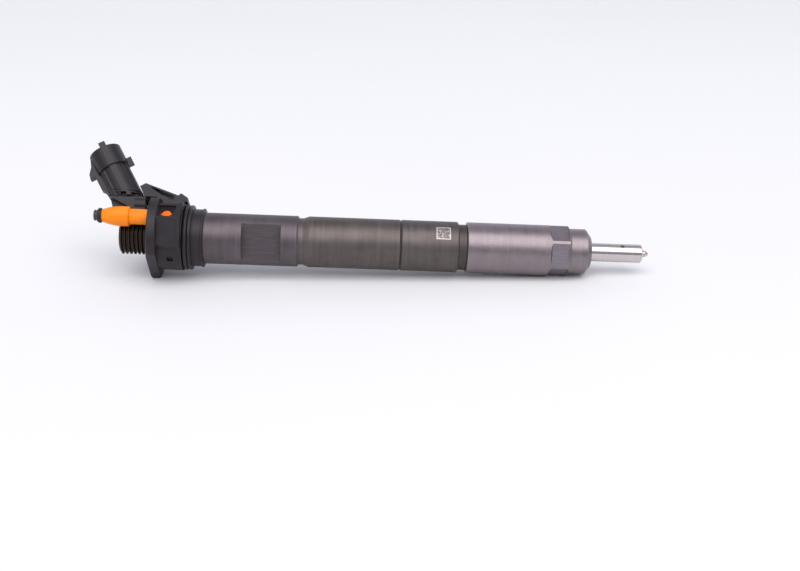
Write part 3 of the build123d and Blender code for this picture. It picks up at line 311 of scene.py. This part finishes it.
def inner_steel(name, dark, light, rough_low, rough_high):
    """Ground or drawn metal of the pieces inside, with turning marks."""
    g = Graph(name, Metallic=1.0)
    marks = turning_marks(g, 6000.0, 1500.0)
    colour = g.mix(g.spread(marks, 0.3, 0.7), dark, light)
    rounded, edge = g.edges(0.05 * MM, 3)
    # sharp edges paler: partly rubbed, partly a painted edge highlight
    colour = g.mix(g.math("MULTIPLY", edge, 0.4), colour, (0.75, 0.74, 0.72))
    rough = g.spread(marks, 0.3, 0.7, rough_low, rough_high)
    return g.finish(colour, rough, g.bump(marks, 0.002 * MM, 0.4, rounded))


def piezo_ceramic():
    """Thin ceramic layers with paler electrode edges between them."""
    g = Graph("piezo_ceramic", Roughness=0.6)
    x, _, _ = g.parts()
    layers = g.math("SINE", g.math("MULTIPLY", x, 2 * math.pi / (0.35 * MM)))
    cloud = g.noise(g.scaled(700.0, 700.0, 700.0), detail=4.0)
    ceramic = g.mix(cloud, (0.16, 0.125, 0.075), (0.25, 0.20, 0.125))
    colour = g.mix(g.spread(layers, 0.7, 0.95), ceramic, (0.34, 0.33, 0.30))
    return g.finish(colour, None, g.bump(layers, 0.004 * MM, 0.4))


def contact_metal():
    g = Graph("contact_metal", Metallic=1.0)
    drawn = g.noise(g.scaled(300.0, 3000.0, 3000.0), detail=3.0)
    colour = g.mix(g.spread(drawn, 0.3, 0.7), (0.55, 0.42, 0.20), (0.74, 0.60, 0.34))
    rounded, edge = g.edges(0.05 * MM, 3)
    # sharp edges paler: partly rubbed, partly a painted edge highlight
    colour = g.mix(g.math("MULTIPLY", edge, 0.4), colour, (0.86, 0.76, 0.54))
    return g.finish(colour, g.spread(drawn, 0.3, 0.7, 0.22, 0.34), rounded)


# ---------------------------------------------------------------- plastics and rubber
def moulded(name, dark, light, worn, rough, grain=0.01 * MM, spec=0.5, edge_rub_and_highlight=0.55, painted_pocket_shade=None):
    """Moulded plastic: fine spark-eroded grain, faint flow clouds, paler edges that are partly rubbed and
    partly a painted highlight.

    painted_pocket_shade is a darker, redder colour for the lug inside the head's pocket: painted shade."""
    g = Graph(name, Specular_IOR_Level=spec)
    cloud = g.noise(g.scaled(170.0, 220.0, 220.0), detail=4.0)
    skin = g.noise(g.place, scale=7500.0, detail=3.0, roughness=0.6)
    colour = g.mix(g.spread(cloud, 0.3, 0.7), dark, light)
    rounded, edge = g.edges(0.18 * MM)
    # paler edges: partly rubbed, partly a painted edge highlight
    rubbed_and_highlit_edge = g.math("MULTIPLY", edge, g.spread(g.noise(g.place, scale=1500.0), 0.25, 0.6, 0.35, 1.0))
    colour = g.mix(g.math("MULTIPLY", rubbed_and_highlit_edge, edge_rub_and_highlight), colour, worn)
    # painted shade: past the flange, the lug in the head's pocket turns darker and redder
    if painted_pocket_shade:
        x, _, _ = g.parts()
        colour = g.mix(g.spread(x, *PAINTED_LUG_SHADE_X), colour, g.mix(cloud, painted_pocket_shade, light))
    gloss = g.math("ADD", cloud, g.math("MULTIPLY", skin, 0.5))
    level = g.spread(gloss, 0.5, 1.0, rough - 0.06, rough + 0.08)
    return g.finish(colour, level, g.bump(skin, grain, 0.6, rounded))


def rubber():
    g = Graph("rubber", Specular_IOR_Level=0.4)
    skin = g.noise(g.place, scale=5200.0, detail=4.0)
    colour = g.mix(g.spread(skin, 0.3, 0.7), (0.008, 0.008, 0.009), (0.022, 0.022, 0.024))
    return g.finish(colour, g.spread(skin, 0.3, 0.7, 0.42, 0.62), g.bump(skin, 0.01 * MM, 0.5))


HARD_STEEL = inner_steel("hardened_steel", (0.45, 0.45, 0.46), (0.62, 0.61, 0.60), 0.16, 0.28)
SPRING_STEEL = inner_steel("spring_steel", (0.26, 0.27, 0.30), (0.42, 0.42, 0.44), 0.22, 0.34)
TINNED_METAL = inner_steel("tinned_metal", (0.055, 0.052, 0.055), (0.095, 0.090, 0.094), 0.34, 0.50)
CONTACT_METAL = contact_metal()
RUBBER = rubber()

# paler colour for the black plastics' edges: partly rubbed, partly a painted highlight
RUBBED_AND_HIGHLIGHT_BLACK = (0.105, 0.095, 0.105)
BLACK_PLASTIC = moulded(
    "black_plastic",
    dark=(0.0090, 0.0056, 0.0090),
    light=(0.0172, 0.0114, 0.0174),
    worn=RUBBED_AND_HIGHLIGHT_BLACK,
    rough=0.44,
    spec=0.40,
    edge_rub_and_highlight=0.6,
)
SHELL_PLASTIC = moulded(
    "shell_plastic",
    dark=(0.0090, 0.0058, 0.0088),
    light=(0.0168, 0.0116, 0.0166),
    worn=RUBBED_AND_HIGHLIGHT_BLACK,
    rough=0.38,
    spec=0.42,
    edge_rub_and_highlight=0.6,
)
GREY_PLASTIC = moulded(
    "grey_plastic",
    dark=(0.055, 0.054, 0.058),
    light=(0.085, 0.083, 0.088),
    worn=(0.16, 0.16, 0.165),
    rough=0.5,
)
CREAM_PLASTIC = moulded(
    "insulator_plastic",
    dark=(0.52, 0.47, 0.36),
    light=(0.62, 0.57, 0.46),
    worn=(0.72, 0.68, 0.58),
    rough=0.5,
)
ORANGE_PLASTIC = moulded(
    "orange_plastic",
    dark=(0.96, 0.225, 0.002),
    light=(1.0, 0.270, 0.004),
    worn=(1.0, 0.36, 0.03),
    rough=0.42,
    grain=0.006 * MM,
    spec=0.30,
    edge_rub_and_highlight=0.35,
    # painted shade on the lug inside the head's pocket
    painted_pocket_shade=(0.74, 0.050, 0.001),
)

FINISHES = (
    (body_steel(), ("injector_body",)),
    (nut_steel(), ("retaining_nut",)),
    (nozzle_steel(), ("nozzle_body",)),
    (HARD_STEEL, ("nozzle_needle", "needle_sleeve", "spring_ring", "throttle_plate", "valve_plate")),
    (HARD_STEEL, ("dowel_pins", "valve_pin", "coupler_sleeve", "coupler_small_piston")),
    (HARD_STEEL, ("coupler_large_piston", "actuator_foot", "actuator_head", "inlet_edge_filter")),
    (SPRING_STEEL, ("needle_spring", "valve_spring", "coupler_lower_spring", "coupler_upper_spring")),
    (SPRING_STEEL, ("actuator_tube_spring", "actuator_sleeve")),
    (piezo_ceramic(), ("piezo_stack",)),
    (CONTACT_METAL, ("stack_electrodes", "contact_pins", "connector_terminals")),
    (TINNED_METAL, ("contact_rails",)),
    (CREAM_PLASTIC, ("pin_insulators",)),
    (BLACK_PLASTIC, ("head_housing", "contact_cover")),
    (SHELL_PLASTIC, ("connector_shell",)),
    (ORANGE_PLASTIC, ("return_spigot",)),
    (GREY_PLASTIC, ("spigot_tip",)),
    (RUBBER, ("actuator_seal_ring", "head_seal_ring", "return_oring", "spigot_inner_oring")),
)
for material, names in FINISHES:
    for name in names:
        for slot in NODES[name].material_slots:
            slot.material = material


# ---------------------------------------------------------------- floor, light and camera
FLOOR_SLOPE = 0.0394  # the flange foot and the nut touch the floor at different distances
FLOOR_HALF = 6.0
FOOT = Vector((-163.5 * MM, 0.0, -15.4 * MM))

KEY_ELEVATION = math.radians(60.0)
KEY_DISTANCE = 2.4
KEY_SIZE = (3.6, 2.3)
KEY_POWER = 52.0
KEY_COLOUR = (1.0, 0.985, 0.97)
KEY_AIM = Vector((-75.0 * MM, 0.0, 0.0))

# strength of the world light at an elevation, from the front horizon over the top to the back
SKY_COLOUR = (0.90, 0.91, 1.0, 1.0)
SKY_LEVELS = ((0.0, 0.38), (20.0, 0.45), (40.0, 0.80), (92.0, 0.86), (118.0, 0.46), (148.0, 1.02))

CAMERA_AZIMUTH = math.radians(-2.94)
CAMERA_ELEVATION = math.radians(22.0)
CAMERA_ROLL = math.radians(3.09)
CAMERA_TARGET = Vector((-70.84 * MM, 0.0, -16.42 * MM))
CAMERA_DISTANCE = 438.9 * MM
CAMERA_LENS = 51.75


def direction(azimuth, elevation):
    """Unit vector from the injector towards something at an azimuth and elevation, in radians."""
    level = math.cos(elevation)
    return Vector((math.sin(azimuth) * level, -math.cos(azimuth) * level, math.sin(elevation)))


def floor_material():
    g = Graph("floor_paper", Roughness=0.6, Specular_IOR_Level=0.25)
    shade = g.noise(g.scaled(3.0, 3.0, 3.0), detail=2.0)
    return g.finish(g.mix(shade, (0.802, 0.800, 0.810), (0.838, 0.836, 0.842)))


def make_floor():
    mesh = bpy.data.meshes.new("floor")
    half = FLOOR_HALF
    square = ((-half, -half), (half, -half), (half, half), (-half, half))
    corners = [(x, y, FOOT.z + FLOOR_SLOPE * (x - FOOT.x)) for x, y in square]
    mesh.from_pydata(corners, [], [(0, 1, 2, 3)])
    mesh.materials.append(floor_material())
    floor = bpy.data.objects.new("floor", mesh)
    bpy.context.scene.collection.objects.link(floor)


def make_key_light():
    """One large softbox in front of the injector and above it."""
    back = direction(0.0, KEY_ELEVATION)
    data = bpy.data.lights.new("key_softbox", "AREA")
    data.shape = "RECTANGLE"
    data.size, data.size_y = KEY_SIZE
    data.energy = KEY_POWER
    data.color = KEY_COLOUR
    light = bpy.data.objects.new("key_softbox", data)
    light.location = KEY_AIM + back * KEY_DISTANCE
    light.rotation_mode = "QUATERNION"
    light.rotation_quaternion = (-back).to_track_quat("-Z", "Y")
    bpy.context.scene.collection.objects.link(light)


def make_world():
    """Soft light from all round, whose strength changes with the elevation about the X axis."""
    world = bpy.data.worlds.new("studio")
    world.use_nodes = True
    nodes, links = world.node_tree.nodes, world.node_tree.links
    background = nodes["Background"]
    background.inputs["Color"].default_value = SKY_COLOUR
    place = nodes.new("ShaderNodeTexCoord")
    split = nodes.new("ShaderNodeSeparateXYZ")
    links.new(place.outputs["Generated"], split.inputs["Vector"])
    front = nodes.new("ShaderNodeMath")
    front.operation = "MULTIPLY"
    front.inputs[1].default_value = -1.0
    links.new(split.outputs["Y"], front.inputs[0])
    rise = nodes.new("ShaderNodeMath")
    rise.operation = "ARCTAN2"
    links.new(split.outputs["Z"], rise.inputs[0])
    links.new(front.outputs["Value"], rise.inputs[1])
    turn = nodes.new("ShaderNodeMapRange")
    turn.inputs["From Max"].default_value = math.pi
    links.new(rise.outputs["Value"], turn.inputs["Value"])
    ramp = nodes.new("ShaderNodeValToRGB")
    ramp.color_ramp.interpolation = "EASE"
    stops = ramp.color_ramp.elements
    for degrees, _ in SKY_LEVELS[1:-1]:
        stops.new(degrees / 180.0)
    stops[-1].position = SKY_LEVELS[-1][0] / 180.0
    for stop, (_, level) in zip(stops, SKY_LEVELS):
        stop.color = (level, level, level, 1.0)
    links.new(turn.outputs["Result"], ramp.inputs["Fac"])
    links.new(ramp.outputs["Color"], background.inputs["Strength"])
    bpy.context.scene.world = world


def make_camera():
    """Camera in front of the injector and above it, a little rolled."""
    back = direction(CAMERA_AZIMUTH, CAMERA_ELEVATION)
    right = Vector((math.cos(CAMERA_AZIMUTH), math.sin(CAMERA_AZIMUTH), 0.0))
    up = back.cross(right)
    across = right * math.cos(CAMERA_ROLL) + up * math.sin(CAMERA_ROLL)
    upward = up * math.cos(CAMERA_ROLL) - right * math.sin(CAMERA_ROLL)
    data = bpy.data.cameras.new("camera")
    data.lens = CAMERA_LENS
    data.clip_start = 0.01
    data.clip_end = 30.0
    camera = bpy.data.objects.new("camera", data)
    turned = Matrix((across, upward, back)).transposed().to_4x4()
    camera.matrix_world = Matrix.Translation(CAMERA_TARGET + back * CAMERA_DISTANCE) @ turned
    bpy.context.scene.collection.objects.link(camera)
    bpy.context.scene.camera = camera


make_floor()
make_world()
make_key_light()
make_camera()
bpy.context.scene.view_settings.view_transform = "Standard"
